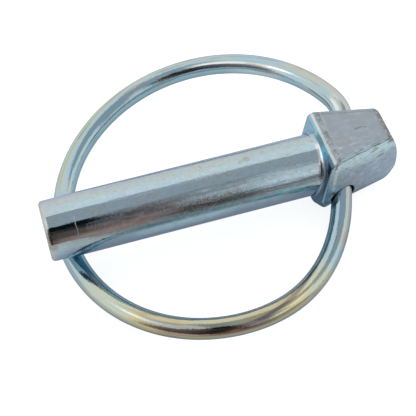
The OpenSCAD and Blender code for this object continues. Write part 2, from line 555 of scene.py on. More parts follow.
# Grey of pits on the head, and of a painted shade band on the shank
PIT_AND_SHADE_GREY = (0.22, 0.25, 0.28)
RIM_WARM = (0.66, 0.66, 0.56)
# Painted highlight on the burr along the near front corner
BURR_HIGHLIGHT = (0.86, 0.95, 0.92)
BRIGHT = (0.80, 0.84, 0.86)
GLINT = (1.0, 1.0, 1.0)
CREASE = (0.24, 0.14, 0.10)
BROWN = (0.26, 0.17, 0.11)
RUST = (0.40, 0.26, 0.14)
RUST_PALE = (0.55, 0.46, 0.32)
BLUSH = (0.62, 0.48, 0.55)
RING_BLUE = (0.50, 0.68, 0.75)
GOLD = (0.72, 0.65, 0.40)
PALE_GOLD = (0.70, 0.73, 0.57)
GREEN_GOLD = (0.50, 0.60, 0.30)
GOLD_LIGHT = (0.95, 0.84, 0.52)
BRONZE = (0.88, 0.78, 0.64)
MOSS = (0.16, 0.24, 0.13)
LOW_ARC_BROWN = (0.45, 0.34, 0.32)
WORN = (0.31, 0.26, 0.25)
DULL = (0.40, 0.45, 0.46)
DUSK = (0.22, 0.19, 0.21)
TEAL = (0.22, 0.42, 0.50)
DEEP_BLUE = (0.05, 0.30, 0.44)
TAN = (0.66, 0.57, 0.45)
ARM_CREAM = (0.66, 0.68, 0.58)
ARM_LIGHT = (0.92, 0.97, 0.95)

# Noises on the pin: scale, detail and scale along the pin

PIN_NOISES = {
    "patch": (0.16, 3.0, 1.0),
    "fine": (1.1, 4.0, 1.0),
    "grain": (3.2, 3.0, 1.0),
    "frost": (1.3, 5.0, 0.5),
    "pits": (1.9, 3.0, 1.0),
    "streak": (2.2, 2.0, 0.06),
    "forge": (0.7, 2.0, 1.0),
    "fleck": (5.0, 2.0, 0.6),
    "scrape": (1.6, 3.0, 0.25),
    "rolled": (1.3, 4.0, 0.35),
    "blotch": (1.5, 4.0, 0.16),
    "pepper": (5.5, 3.0, 0.6),
    "mottle": (2.9, 3.0, 0.45),
    "torn": (1.5, 3.0, 1.0),
    "jagged": (1.8, 3.0, 1.0),
    "wobble": (0.8, 3.0, 1.0),
    "speck": (1.7, 3.0, 1.0),
    "sprinkle": (2.3, 2.0, 0.5)}

# Places and shares of what lies on the pin. Two numbers are where a mask starts and where it is full,
# and four add its values there. Three are low, high and fade. Depth is measured behind the front face
# of the head, facing is a part of the surface's normal, and other places are along X, Y or Z.

INTO_HEAD = (cos_d(FRONT_LEAN), 0.0, -sin_d(FRONT_LEAN))
FORGED_DEPTH = (0.10, 0.55)
TOP_FACING = (0.75, 0.92)
NEAR_FACE_Y = (-2.6, -2.9)
TEAR = 0.7
STRIP_DEPTH = (0.74, 1.46, 0.14)
STRIP_Z = (5.0, 5.3)
RIM_HIGHLIGHT_Y = (0.6, 2.4)
RIM_DEPTH = (0.44, 0.56, 0.09)
RIM_PEPPER = (0.40, 0.56, 0.35, 1.0)
BACK_RIM_DEPTH = (1.60, 1.72, 0.08)
BACK_RIM_SHARE = 0.22
RIM_Z = (4.8, 5.2)
CORNER_JAG = 0.6
CORNER_DEPTH_BY_Z = (-1.5, 4.4, 1.30, 0.82)
CORNER_Y = (-5.0, -5.4)
CORNER_Z = (-4.0, 4.4, 0.5)
BURR_PAST_CORNER = (0.04, 0.56, 0.08)
BURR_PEPPER = (0.38, 0.48)
BEFORE_BURR = (0.06, -0.04)
REAR_X = (12.6, 13.3)
REAR_Z = (4.4, 5.2)
FRONT_EDGE_BY_Z = (4.6, 5.0, 0.10, 0.34)
FRONT_DEPTH = (-0.45, -0.15)
FRONT_UNTIL = (-0.06, 0.06, 1.0, 0.0)
CONE_DEPTH = (-0.2, -0.05)
CONE_X = (0.0, 0.3)
CONE_Z = (0.0, -2.0)
TURNED_DARK_Y = (2.2, 0.6)
TURNED_VIVID_Y = (-0.8, -1.8)
TURNED_NAVY_Y = (-2.8, -3.8)
TURNED_TEAL_Z = (-1.0, -3.0)
GLINT_DEPTH = (-0.78, -0.34, 0.14)
GLINT_Z = (3.4, 5.6, 0.6)
GLINT_Y = (0.2, -0.8)

WARM_PATCH = (0.50, 0.70, 0.0, 0.6)
PINK_PATCH = (0.44, 0.30, 0.0, 0.5)
FAR_FACING = (0.35, 0.75)
FROST_PATCH = (0.48, 0.64)
FROST_SHARE = 0.45
FROST_FAR_SHARE = 0.35
FROST_BLUE_PATCH = (0.46, 0.34, 0.0, 0.30)
BELLY_Z = (1.3, 0.0)
BELLY_Y = (-1.0, -2.0)
BELLY_FINE = (0.36, 0.60, 0.5, 0.9)

# Painted reflections on the shank: lengthwise light, dark, blue, warm and cyan bands, some broken into
# blotches, in the order they are laid on. A turn is its middle, half width and fade in degrees, 0 at the
# near side and 90 at the top. Along is low, high and fade along X. The noises have four numbers each,
# as above.

WHOLE_SHANK = (-60.0, 30.0, 1.0)
SHANK_REFLECTION_BANDS = [
    dict(paint=SLATE, turn=(11.0, 1.5, 4.0), along=(-27.0, -9.0, 3.0), fine=(0.36, 0.60, 0.35, 0.60)),
    dict(paint=FLANK_LIGHT, turn=(-3.0, 5.0, 6.0), along=(-27.0, -16.0, 4.0),
         fine=(0.36, 0.60, 0.45, 0.90)),
    dict(paint=CREST_BLUE, turn=(86.0, 2.0, 11.0), along=WHOLE_SHANK, fine=(0.36, 0.60, 0.25, 0.65)),
    dict(paint=CREST_WARM, turn=(103.0, 3.0, 11.0), along=WHOLE_SHANK, fine=(0.36, 0.60, 0.20, 0.70)),
    dict(paint=DARK_REFLECTION, turn=(29.0, 6.0, 9.0), along=(-20.5, -13.0, 6.0),
         pepper=(0.42, 0.58, 0.32, 0.78), blotch=(0.36, 0.50, 0.6, 1.0)),
    dict(paint=PIT_AND_SHADE_GREY, turn=(52.0, 3.0, 5.0), along=(-20.0, -9.0, 4.0), blotch=(0.38, 0.56, 0.25, 0.55)),
    dict(paint=UMBER, turn=(46.0, 6.0, 7.0), along=(-30.0, -23.5, 4.0), blotch=(0.38, 0.56, 0.25, 0.65)),
    dict(paint=CYAN, turn=(12.8, 0.8, 1.8), along=(-9.0, -1.6, 3.0), share=0.85)]
MOTTLE_SHARE = 0.42
MOTTLE_TURN = (32.0, 14.0, 12.0)
MOTTLE_TURN_SHARE = 0.48
MOTTLE_FINE = (0.38, 0.58, 0.35, 1.0)

# Coats on the forged head, in the order they are laid on, each with the mask that it lies on and with
# noises as above. The darker top is painted shade, the light patches on the near face are painted light,
# and the blue before the corner is a painted reflection.

SIDE_LIGHT_Z = (3.2, 6.2)
SIDE_UNEVEN = 3.0
HEAD_MARKS = [
    # Painted shade: the top is darker than the sides
    dict(paint=FORGED_TOP, on="top"),
    dict(paint=ZINC_WARM, on="all", fine=(0.50, 0.72, 0.0, 0.30)),
    dict(paint=FORGED_TOP, on="all", fine=(0.48, 0.30, 0.0, 0.35)),
    dict(paint=FORGED_ROSE, on="top", rolled=(0.50, 0.66, 0.0, 0.32)),
    dict(paint=FORGED_PALE, on="top", rolled=(0.46, 0.32, 0.0, 0.32)),
    # Painted light in patches on the near face
    dict(paint=FORGED_LIGHT, on="near", forge=(0.46, 0.62, 0.0, 0.45), scrape=(0.52, 0.38, 0.0, 1.0)),
    dict(paint=FORGED_OLIVE, on="rear"),
    dict(paint=BRIGHT, on="rear", pits=(0.52, 0.62, 0.0, 0.5)),
    dict(paint=STRIP, on="strip", share=0.7),
    dict(paint=BRIGHT, on="strip", pits=(0.54, 0.64, 0.0, 0.25)),
    dict(paint=PIT_AND_SHADE_GREY, on="strip", pits=(0.50, 0.38, 0.0, 0.65)),
    # Painted reflection: the front face's blue carried past the near corner
    dict(paint=CORNER_BLUE, on="before", share=0.7)]

# Creases, scratches, stains and rust on the pin, and a painted brown reflection at the shank's root.
# A width is its half and its fade, and a spot, chip or trace is its middle, radius and fade.

WOBBLE = 0.9
CREASE_Z_BY_X = (5.0, 13.0, 5.50, 5.84)
CREASE_WIDTH = (0.07, 0.12)
CREASE_X = (4.4, 13.2, 0.4)
CREASE_GRAIN = (0.36, 0.56, 0.35, 0.75)
FOLD_Z_BY_X = (4.2, 7.4, 4.3, 1.3)
FOLD_WIDTH = (0.05, 0.14)
FOLD_X = (4.2, 7.2, 0.4)
FOLD_PITS = (0.40, 0.55)
FOLD_SHARE = 0.5
NICK_WOBBLE = 1.2
NICK_WIDTH = (0.05, 0.08)
NICK_X = (8.6, 10.5, 0.15)
NICK_Z = (5.8, 5.9)
NICK_SHARE = 0.7
CHIPS = [
    ((3.37, -5.84, 5.1), 0.22, 0.25), ((3.3, -5.85, 4.5), 0.2, 0.2),
    ((13.8, 0.9, 5.5), 0.15, 0.3), ((13.5, -1.3, 5.6), 0.12, 0.3)]
CHIP_SHARE = 0.7
DIRT_FINE = (0.62, 0.72, 0.0, 0.175)
SCUFF_SCRAPE = (0.56, 0.66)
SCUFF_Z = (0.5, 4.8, 1.0)
SCUFF_X = (6.5, 10.0, 0.4, 1.3)
SCUFF_SHARE = 0.45
FAR_LINE_INSET = 0.75
FAR_LINE_WIDTH = (0.04, 0.12)
FAR_LINE_Z = (5.7, 5.9)
FAR_LINE_DEPTH = (1.0, 1.4)
FAR_LINE_PITS = (0.38, 0.5)
FAR_LINE_SHARE = 0.5
SPECK_STEPS = (0.71, 0.75, 0.0, 0.5)
RUST_SPOT = ((-9.7, 0.3, 5.0), 0.1, 0.8)
RUST_SPOT_SHARE = 1.6
RUST_TRACES = [((-6.8, 1.0, 4.9), 0.05, 0.5), ((-10.8, 0.0, 5.0), 0.05, 0.6)]
RUST_GRAIN = (0.35, 0.60, 0.4, 1.0)
RUST_SHARE = 0.42
SPRINKLE_STEPS = (0.60, 0.68, 0.0, 0.45)
SPRINKLE_FACING = (0.80, 0.90)
SPRINKLE_X = (-17.0, -3.0, 4.0)
ROOT_DEPTH = (-0.90, -0.56, 0.15)
ROOT_Z = (2.0, 3.4, 0.4)
ROOT_Y = (-3.0, -3.5)
ROOT_SHARE = 0.6
SMEAR_PATCH = (0.50, 0.66)
SMEAR_FLECK = (0.56, 0.66)
SMEAR_FACING = (0.2, 0.5)
SMEAR_OFF_HEAD = (0.0, 1.0, 0.22, 0.0)
TIP_X = (-42.2, -42.8, 0.0, 0.7)
SMUDGE_X = (-41.4, -42.6)
SMUDGE_Y = (-2.4, -3.4)
SMUDGE_Z = (1.2, 3.6, 0.8)
SMUDGE_PEPPER = (0.40, 0.52, 0.0, 0.65)
BLUSH_SPOT = ((7.05, -4.96, -0.04), 0.2, 0.9)
BLUSH_SHARE = 0.5
RUB_X = -38.4
RUB_WOBBLE = 0.3
RUB_WIDTH = (0.05, 0.08)
RUB_Z = (1.6, 4.5, 0.4)
RUB_Y = (-1.8, -2.2)
RUB_SHARE = 0.7

# Relief and roughness of the pin

GRAIN_RELIEF = 0.35
BLOTCH_RELIEF = 0.6
SHANK_RELIEF_X = (-38.0, -24.0, 0.25, 0.7)
FORGE_RELIEF = 2.4
SCRAPE_RELIEF = 0.8
PIT_RELIEF = 5.0
CREASE_RELIEF = 1.6
FOLD_RELIEF = 0.5
PIN_BUMP = 0.12
PIN_BUMP_DEPTH = 0.0004
SHANK_ROUGH = (0.3, 0.7, 0.12, 0.18)
SHANK_ROUGH_X = (-38.0, -26.0, 0.45, 1.0)
HEAD_ROUGH = (0.3, 0.7, 0.26, 0.36)
RIM_ROUGH = 0.16
MARK_ROUGH = 0.25


def pin_material():
    """Zinc on the turned shank and on the forged head, with their stains and scratches, and with painted
    reflections, highlights and shade.
    """
    material = bpy.data.materials.new("pin_zinc")
    s = Nodes(material)
    own = s.attribute("own")
    x, y, z = s.split(own)
    facing_y, up = s.split(s.attribute("facing"))[1:]
    depth = s.minus(s.dot(own, INTO_HEAD), HEAD_FRONT * cos_d(FRONT_LEAN))
    noises = {name: s.noise(own, *kind) for name, kind in PIN_NOISES.items()}

    def textured(mark):
        """Masks from the noises that a mark names."""
        return [s.ramp(noises[name], *mark[name]) for name in mark if name in noises]

    # Masks on the head
    forged = s.ramp(depth, *FORGED_DEPTH)
    top = s.times(forged, s.ramp(up, *TOP_FACING))
    near = s.ramp(y, *NEAR_FACE_Y)
    rear = s.times(s.ramp(x, *REAR_X), s.ramp(z, *REAR_Z))
    ragged = s.plus(depth, s.sway(noises["torn"], TEAR))
    strip = s.times(s.band(ragged, *STRIP_DEPTH), s.ramp(z, *STRIP_Z))
    # Painted highlight along the front rim, whole and brightest on the far side
    lit_far_rim = s.ramp(y, *RIM_HIGHLIGHT_Y)
    front_rim = s.times(s.band(depth, *RIM_DEPTH), s.either(lit_far_rim, s.ramp(noises["pepper"], *RIM_PEPPER)))
    back_rim = s.times(s.band(ragged, *BACK_RIM_DEPTH), BACK_RIM_SHARE)
    rim = s.times(s.either(front_rim, back_rim), s.ramp(z, *RIM_Z))
    past_corner = s.minus(depth, s.ramp_line(z, *CORNER_DEPTH_BY_Z))
    past_corner = s.plus(past_corner, s.sway(noises["jagged"], CORNER_JAG))
    corner = s.times(s.ramp(y, *CORNER_Y), s.band(z, *CORNER_Z))
    burr = s.times(corner, s.band(past_corner, *BURR_PAST_CORNER), s.ramp(noises["pepper"], *BURR_PEPPER))
    # Where the front face's painted reflection is carried past the corner
    before = s.times(corner, s.ramp(past_corner, *BEFORE_BURR))
    past_edge = s.minus(depth, s.ramp(z, *FRONT_EDGE_BY_Z))
    front = s.times(s.ramp(depth, *FRONT_DEPTH), s.ramp(past_edge, *FRONT_UNTIL))
    radius = s.vector("LENGTH", "Value", {0: s.vector("MULTIPLY", "Vector", {0: own, 1: (0.0, 1.0, 1.0)})})
    cone_depth = s.minus(s.minus(radius, x), SHANK_R + TURNED_RIM)
    cone = s.times(s.ramp(cone_depth, *CONE_DEPTH), s.ramp(x, *CONE_X), s.ramp(z, *CONE_Z))
    bright = s.either(front, cone)

    # The zinc of the shank, with a painted bluer underside and painted reflection bands
    colour = s.coat(ZINC, ZINC_WARM, s.ramp(noises["patch"], *WARM_PATCH))
    colour = s.coat(colour, ZINC_PINK, s.ramp(noises["patch"], *PINK_PATCH))
    frost_share = s.plus(FROST_SHARE, s.times(s.ramp(facing_y, *FAR_FACING), FROST_FAR_SHARE))
    colour = s.coat(colour, FROST, s.ramp(noises["frost"], *FROST_PATCH), frost_share)
    colour = s.coat(colour, FROST_BLUE, s.ramp(noises["frost"], *FROST_BLUE_PATCH))
    # Painted reflection: the shank's lower near side is bluer, standing for the floor's reflection there
    belly = s.times(s.ramp(z, *BELLY_Z), s.ramp(y, *BELLY_Y), s.ramp(noises["fine"], *BELLY_FINE))
    colour = s.coat(colour, BELLY_BLUE, belly)
    # Painted reflections: lengthwise light and dark bands along the shank
    for mark in SHANK_REFLECTION_BANDS:
        place = s.times(s.shank_line(own, *mark["turn"]), s.band(x, *mark["along"]))
        colour = s.coat(colour, mark["paint"], place, mark.get("share", 1.0), *textured(mark))
    mottle_share = s.plus(MOTTLE_SHARE, s.times(s.shank_line(own, *MOTTLE_TURN), MOTTLE_TURN_SHARE))
    mottle = s.sway(noises["mottle"], s.times(mottle_share, s.ramp(noises["fine"], *MOTTLE_FINE)))
    colour = s.vector("SCALE", "Vector", {0: colour, "Scale": s.plus(1.0, mottle)})

    # The turned front of the head, in painted reflections: blue on the far side, darker, vivid blue and
    # navy towards the near side, teal towards the bottom, and a painted white highlight on the fillet
    turned = s.coat(TURNED_BLUE, TURNED_DARK, s.ramp(y, *TURNED_DARK_Y))
    turned = s.coat(turned, TURNED_VIVID, s.ramp(y, *TURNED_VIVID_Y))
    turned = s.coat(turned, TURNED_NAVY, s.ramp(y, *TURNED_NAVY_Y))
    turned = s.coat(turned, TURNED_TEAL, s.ramp(z, *TURNED_TEAL_Z))
    colour = s.coat(colour, turned, bright)
    # Painted highlight: a white crescent on the fillet where the shank meets the head
    glint = s.times(s.band(depth, *GLINT_DEPTH), s.band(z, *GLINT_Z), s.ramp(y, *GLINT_Y))
    colour = s.coat(colour, GLINT, glint)

    # The forged faces of the head. Painted light and shade: the sides are lighter and bluer than the darker
    # top, and lighter still towards their upper edge
    masks = {"all": 1.0, "top": top, "near": near, "rear": rear, "strip": strip, "before": before}
    uneven_z = s.plus(z, s.times(noises["fine"], SIDE_UNEVEN))
    face = s.coat(FORGED_SIDE, FORGED_LIGHT, s.ramp(uneven_z, *SIDE_LIGHT_Z))
    for mark in HEAD_MARKS:
        face = s.coat(face, mark["paint"], masks[mark["on"]], mark.get("share", 1.0), *textured(mark))
    # Painted highlight on the front rim: bright on the far side, warm and broken on the near side
    face = s.coat(face, s.coat(RIM_WARM, BRIGHT, lit_far_rim), rim)
    # Painted highlight on the ragged burr along the near front corner
    face = s.coat(face, BURR_HIGHLIGHT, burr)
    colour = s.coat(colour, face, forged, s.minus(1.0, bright))

    # Creases and stains on the head
    wobble = s.sway(noises["wobble"], WOBBLE)
    crease_off = s.plus(s.minus(z, s.ramp_line(x, *CREASE_Z_BY_X)), wobble)
    crease = s.times(s.line(crease_off, *CREASE_WIDTH), near, s.band(x, *CREASE_X))
    fold_off = s.plus(s.minus(z, s.ramp_line(x, *FOLD_Z_BY_X)), wobble)
    fold = s.times(s.line(fold_off, *FOLD_WIDTH), near, s.band(x, *FOLD_X))
    fold = s.times(fold, s.ramp(noises["pits"], *FOLD_PITS))
    nick_off = s.plus(y, s.times(wobble, NICK_WOBBLE))
    nick = s.times(s.line(nick_off, *NICK_WIDTH), s.band(x, *NICK_X), s.ramp(z, *NICK_Z))
    chips = s.either(*[s.spot(own, *chip) for chip in CHIPS])
    dirt = s.times(forged, s.ramp(noises["fine"], *DIRT_FINE))
    scuff = s.times(forged, near, s.ramp(noises["scrape"], *SCUFF_SCRAPE), s.band(z, *SCUFF_Z))
    scuff = s.times(scuff, s.ramp(x, *SCUFF_X))
    far_side = FRONT_TOP * TAPER_SIN + HALF_W * TAPER_COS
    far_off = s.minus(s.dot(own, (TAPER_SIN, TAPER_COS, 0.0)), far_side - FAR_LINE_INSET)
    far_line = s.times(s.line(far_off, *FAR_LINE_WIDTH), s.ramp(z, *FAR_LINE_Z))
    far_line = s.times(far_line, s.ramp(depth, *FAR_LINE_DEPTH), s.ramp(noises["pits"], *FAR_LINE_PITS))
    colour = s.coat(colour, CREASE, crease, s.ramp(noises["grain"], *CREASE_GRAIN))
    stain = s.either(
        s.times(fold, FOLD_SHARE), s.times(nick, NICK_SHARE), s.times(chips, CHIP_SHARE), dirt,
        s.times(scuff, SCUFF_SHARE), s.times(far_line, FAR_LINE_SHARE),
        s.ramp(noises["speck"], *SPECK_STEPS))
    colour = s.coat(colour, BROWN, stain)

    # Rust, smears and scratches on the shank, a blush by the hole, and a painted brown reflection at the
    # shank's root
    rust = s.times(s.spot(own, *RUST_SPOT), RUST_SPOT_SHARE)
    rust = s.either(rust, *[s.spot(own, *trace) for trace in RUST_TRACES])
    colour = s.coat(colour, RUST, rust, s.ramp(noises["grain"], *RUST_GRAIN), RUST_SHARE)
    sprinkle = s.times(s.ramp(noises["sprinkle"], *SPRINKLE_STEPS), s.ramp(up, *SPRINKLE_FACING))
    colour = s.coat(colour, RUST_PALE, sprinkle, s.band(x, *SPRINKLE_X))
    # Painted reflection: a brown patch where the shank meets the head
    root = s.times(s.band(depth, *ROOT_DEPTH), s.band(z, *ROOT_Z), s.ramp(y, *ROOT_Y), ROOT_SHARE)
    smear = s.times(s.ramp(noises["patch"], *SMEAR_PATCH), s.ramp(noises["fleck"], *SMEAR_FLECK))
    smear = s.times(smear, s.ramp(up, *SMEAR_FACING), s.ramp(forged, *SMEAR_OFF_HEAD))
    colour = s.coat(colour, BROWN, s.either(root, smear))
    colour = s.coat(colour, TIP_WARM, s.ramp(x, *TIP_X))
    smudge = s.times(s.ramp(x, *SMUDGE_X), s.ramp(y, *SMUDGE_Y), s.band(z, *SMUDGE_Z))
    colour = s.coat(colour, BROWN, smudge, s.ramp(noises["pepper"], *SMUDGE_PEPPER))
    colour = s.coat(colour, BLUSH, s.spot(own, *BLUSH_SPOT), BLUSH_SHARE)
    rub_off = s.minus(s.minus(x, RUB_X), s.times(wobble, RUB_WOBBLE))
    rub = s.times(s.line(rub_off, *RUB_WIDTH), s.band(z, *RUB_Z), s.ramp(y, *RUB_Y))
    colour = s.coat(colour, BRIGHT, rub, RUB_SHARE)

    # Relief and roughness
    drawn = s.plus(noises["streak"], s.times(noises["blotch"], BLOTCH_RELIEF))
    drawn = s.plus(drawn, s.times(noises["grain"], GRAIN_RELIEF))
    hammered = s.plus(s.times(noises["forge"], FORGE_RELIEF), s.times(noises["scrape"], SCRAPE_RELIEF))
    height = s.blend(forged, s.times(drawn, s.ramp(x, *SHANK_RELIEF_X)), hammered)
    height = s.plus(height, s.times(noises["pits"], s.either(strip, rear), PIT_RELIEF))
    height = s.minus(height, s.times(s.either(crease, s.times(fold, FOLD_RELIEF), nick), CREASE_RELIEF))
    shank_rough = s.times(s.ramp(noises["grain"], *SHANK_ROUGH), s.ramp(x, *SHANK_ROUGH_X))
    rough = s.blend(forged, shank_rough, s.ramp(noises["forge"], *HEAD_ROUGH))
    rough = s.blend(s.either(rim, burr), rough, RIM_ROUGH)
    rough = s.plus(rough, s.times(s.either(rub, crease), MARK_ROUGH))
    s.metal(colour, rough, height, PIN_BUMP, PIN_BUMP_DEPTH)
    return material


# Coats on the ring, in the order they are laid on: tints, streaks and wear, with painted highlights and
# painted shade. An arc is its start, end, fade and share, in degrees round the ring. A turn is low, high
# and fade in degrees round the wire, 0 at its inner side and 90 above.
# With a drift, from one angle to another and between two turns, the turn is measured from the moving line.
# A side is a ramp over the cosine of the turn, and streaks are a ramp over the streaks along the wire.

UPPER_TURN = (70.0, 180.0, 22.0)
SCREENED_ARC = (4.0, 16.0, 4.0, 1.0)
SCREENED_TURN = (62.0, 94.0, 10.0)
RING_MARKS = [
    dict(paint=PALE_GOLD, arcs=[(284.0, 298.0, 10.0, 1.0), (206.0, 226.0, 10.0, 1.0)], turn=UPPER_TURN,
         streaks=(0.35, 0.60, 0.45, 1.0)),
    dict(paint=GOLD, arcs=[(228.0, 282.0, 10.0, 1.0)], turn=UPPER_TURN, streaks=(0.30, 0.55, 0.6, 1.0)),
    dict(paint=PALE_GOLD, arcs=[(80.0, 150.0, 15.0, 0.55)], turn=(102.0, 122.0, 16.0)),
    dict(paint=GREEN_GOLD, arcs=[(118.0, 154.0, 12.0, 0.85)], turn=(101.0, 107.0, 5.0)),
    dict(paint=BRONZE, arcs=[(44.0, 64.0, 6.0, 0.7)], turn=(45.0, 49.0, 5.0)),
    # Painted highlight: a white line along the top of the wire
    dict(paint=GLINT, arcs=[(44.0, 76.0, 8.0, 1.0)], turn=(58.0, 64.0, 5.0)),
    dict(paint=MOSS, arcs=[(14.0, 27.0, 3.0, 0.85)], turn=(26.0, 30.0, 5.0)),
    # A brownish band low on the wire along the lower arc
    dict(paint=LOW_ARC_BROWN, arcs=[(238.0, 268.0, 8.0, 0.75)], turn=(130.0, 154.0, 12.0)),
    # Painted highlight: a light gold streak on the lower arc
    dict(paint=GOLD_LIGHT, arcs=[(276.0, 290.0, 6.0, 0.7)], turn=(-7.0, 7.0, 9.0),
         drift=(268.0, 300.0, 138.0, 100.0)),
    dict(paint=WORN, arcs=[(264.0, 296.0, 8.0, 1.0)], turn=(-5.0, 5.0, 9.0),
         drift=(262.0, 300.0, 132.0, 60.0), streaks=(0.30, 0.50, 0.45, 0.8)),
    dict(paint=DULL, arcs=[(232.0, 252.0, 10.0, 0.8)], turn=(100.0, 114.0, 12.0)),
    dict(paint=DUSK, arcs=[(257.0, 268.0, 6.0, 1.0)], turn=(120.0, 134.0, 9.0),
         streaks=(0.30, 0.50, 0.5, 0.8)),
    # Painted shade: teal on the wire's inner side, for the reflected shadow under the shank
    dict(paint=TEAL, side=(0.35, 0.65),
         arcs=[(302.0, 345.0, 12.0, 0.8), (192.0, 206.0, 12.0, 0.8), (218.0, 266.0, 10.0, 0.4)]),
    # Painted shade: teal on the inner side of the far arc
    dict(paint=TEAL, arcs=[(70.0, 190.0, 15.0, 0.6)], side=(0.80, 0.93)),
    # Painted shade: deep blue where the ring passes under the shank
    dict(paint=DEEP_BLUE, arcs=[(188.0, 199.0, 4.0, 0.7)], turn=(45.0, 71.0, 10.0)),
    # Painted shade: teal low on the arm by the head
    dict(paint=TEAL, arcs=[(4.0, 40.0, 6.0, 0.5)], turn=(-180.0, 20.0, 14.0)),
    dict(paint=ARM_CREAM, arcs=[(4.0, 40.0, 6.0, 1.0)], turn=(90.0, 180.0, 14.0),
         streaks=(0.36, 0.56, 0.5, 0.95)),
    dict(paint=TAN, arcs=[(4.0, 40.0, 6.0, 0.5)], turn=(60.0, 180.0, 20.0), streaks=(0.55, 0.64)),
    # Painted light: a pale patch on the arm by the head
    dict(paint=ARM_LIGHT, arcs=[(4.0, 16.0, 4.0, 0.9)], turn=SCREENED_TURN),
    dict(paint=TAN, arcs=[(318.0, 342.0, 8.0, 0.75)], side=(-0.25, -0.55), streaks=(0.36, 0.52))]

RING_STREAKS = (2.2, 3.0)
RING_GRAIN = (3.0, 3.0)
RING_PATCH = (0.25, 3.0)
STREAK_ALONG = 0.06
RING_WARM_PATCH = (0.45, 0.70, 0.0, 0.6)
RING_SCRATCH = (0.58, 0.68, 0.0, 0.35)
RING_GRAIN_RELIEF = 0.6
RING_BUMP = 0.10
RING_BUMP_DEPTH = 0.0003
RING_ROUGH = (0.3, 0.7, 0.07, 0.12)
SCREENED_ROUGH = 0.25


def ring_material():
    """Zinc on the drawn wire, with gold and brown tints, painted highlights and painted teal and blue
    shade.
    """
    material = bpy.data.materials.new("ring_zinc")
    s = Nodes(material)
    own = s.attribute("own")
    length, inner, above = s.split(s.attribute("wire"))
    angle = s.attribute("round", "Fac")
    turn = s.times(s.calc("ARCTAN2", above, inner), math.degrees(1.0))
    parts = (s.times(length, STREAK_ALONG), s.times(inner, WIRE_R), s.times(above, WIRE_R))
    drawn = s.add("ShaderNodeCombineXYZ", dict(enumerate(parts))).outputs[0]
    streak = s.noise(drawn, *RING_STREAKS)
    grain = s.noise(own, *RING_GRAIN)

    def on_arcs(arcs):
        """A mask of arcs round the ring, each with its share."""
        return s.either(*[s.times(s.band(angle, *place), share) for *place, share in arcs])

    colour = s.coat(RING_BLUE, ZINC_WARM, s.ramp(s.noise(own, *RING_PATCH), *RING_WARM_PATCH))
    for mark in RING_MARKS:
        masks = [on_arcs(mark["arcs"])]
        if "turn" in mark:
            from_line = s.minus(turn, s.ramp_line(angle, *mark["drift"])) if "drift" in mark else turn
            masks.append(s.band(from_line, *mark["turn"]))
        if "side" in mark:
            masks.append(s.ramp(inner, *mark["side"]))
        if "streaks" in mark:
            masks.append(s.ramp(streak, *mark["streaks"]))
        colour = s.coat(colour, mark["paint"], *masks)
    colour = s.coat(colour, BROWN, s.ramp(streak, *RING_SCRATCH))
    height = s.plus(s.times(grain, RING_GRAIN_RELIEF), streak)
    screened = s.times(on_arcs([SCREENED_ARC]), s.band(turn, *SCREENED_TURN))
    rough = s.plus(s.ramp(grain, *RING_ROUGH), s.times(screened, SCREENED_ROUGH))
    s.metal(colour, rough, height, RING_BUMP, RING_BUMP_DEPTH)
    return material


for piece, body, make in ((make_pin(), "pin", pin_material), (make_ring(), "ring", ring_material)):
    piece.data.materials.append(make())
    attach(piece, body)
    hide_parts(body)


# Stage: a pale floor and cards that the metal reflects. Places on the floor are in metres.

WHITE = (1.0, 1.0, 1.0)
BLACK = (0.0, 0.0, 0.0)
PAPER = (0.8, 0.8, 0.8)
FLOOR_HALF = 3.0
FLOOR_TO_CAMERA = 0.80
FLOOR_ACROSS = (-0.012, 0.014, 0.11, 0.32)
FLOOR_BY_HEAD_X = (0.014, 0.022, 0.012)
FLOOR_BY_HEAD = 0.24
FLOOR_LEFT_X = (-0.036, -0.044, 0.0, 0.24)
FLOOR_FRONT_DARK_Y = (-0.024, -0.046, 0.0, 0.62)
FLOOR_FRONT_DARK_X = (-0.040, -0.026)


def add_quad(name, corners):
    mesh = bpy.data.meshes.new(name)
    mesh.from_pydata(corners, [], [(0, 1, 2, 3)])
    return add_object(name, mesh)


def make_floor():
    """Pale paper that lights the metal more from the far side than from the near one, and more beside the
    head and to the left, with painted shade in front of the part that only the metal's reflections see.
    """
    low = cad_box[0].z
    half = FLOOR_HALF
    corners = [(-half, -half, low), (half, -half, low), (half, half, low), (-half, half, low)]
    floor = add_quad("floor", corners)
    material = bpy.data.materials.new("floor")
    s = Nodes(material)
    path = s.add("ShaderNodeLightPath")
    to_metal = path.outputs["Is Glossy Ray"]
    x, y = s.position()[:2]
    by_head = s.times(s.band(x, *FLOOR_BY_HEAD_X), FLOOR_BY_HEAD)
    level = s.either(s.ramp(y, *FLOOR_ACROSS), by_head, s.ramp(x, *FLOOR_LEFT_X))
    lift = s.plus(s.times(path.outputs["Is Camera Ray"], FLOOR_TO_CAMERA), s.times(to_metal, level))
    glow = s.add("ShaderNodeEmission", {"Color": (*WHITE, 1.0), "Strength": lift})
    # Painted shade: to the metal's reflections, the paper in front of the part is darker
    shade = s.coat(PAPER, BLACK, to_metal, s.ramp(y, *FLOOR_FRONT_DARK_Y), s.ramp(x, *FLOOR_FRONT_DARK_X))
    paper = s.add("ShaderNodeBsdfDiffuse", {"Color": shade})
    s.finish(s.add("ShaderNodeAddShader", {0: glow.outputs[0], 1: paper.outputs[0]}))
    floor.data.materials.append(material)


make_floor()

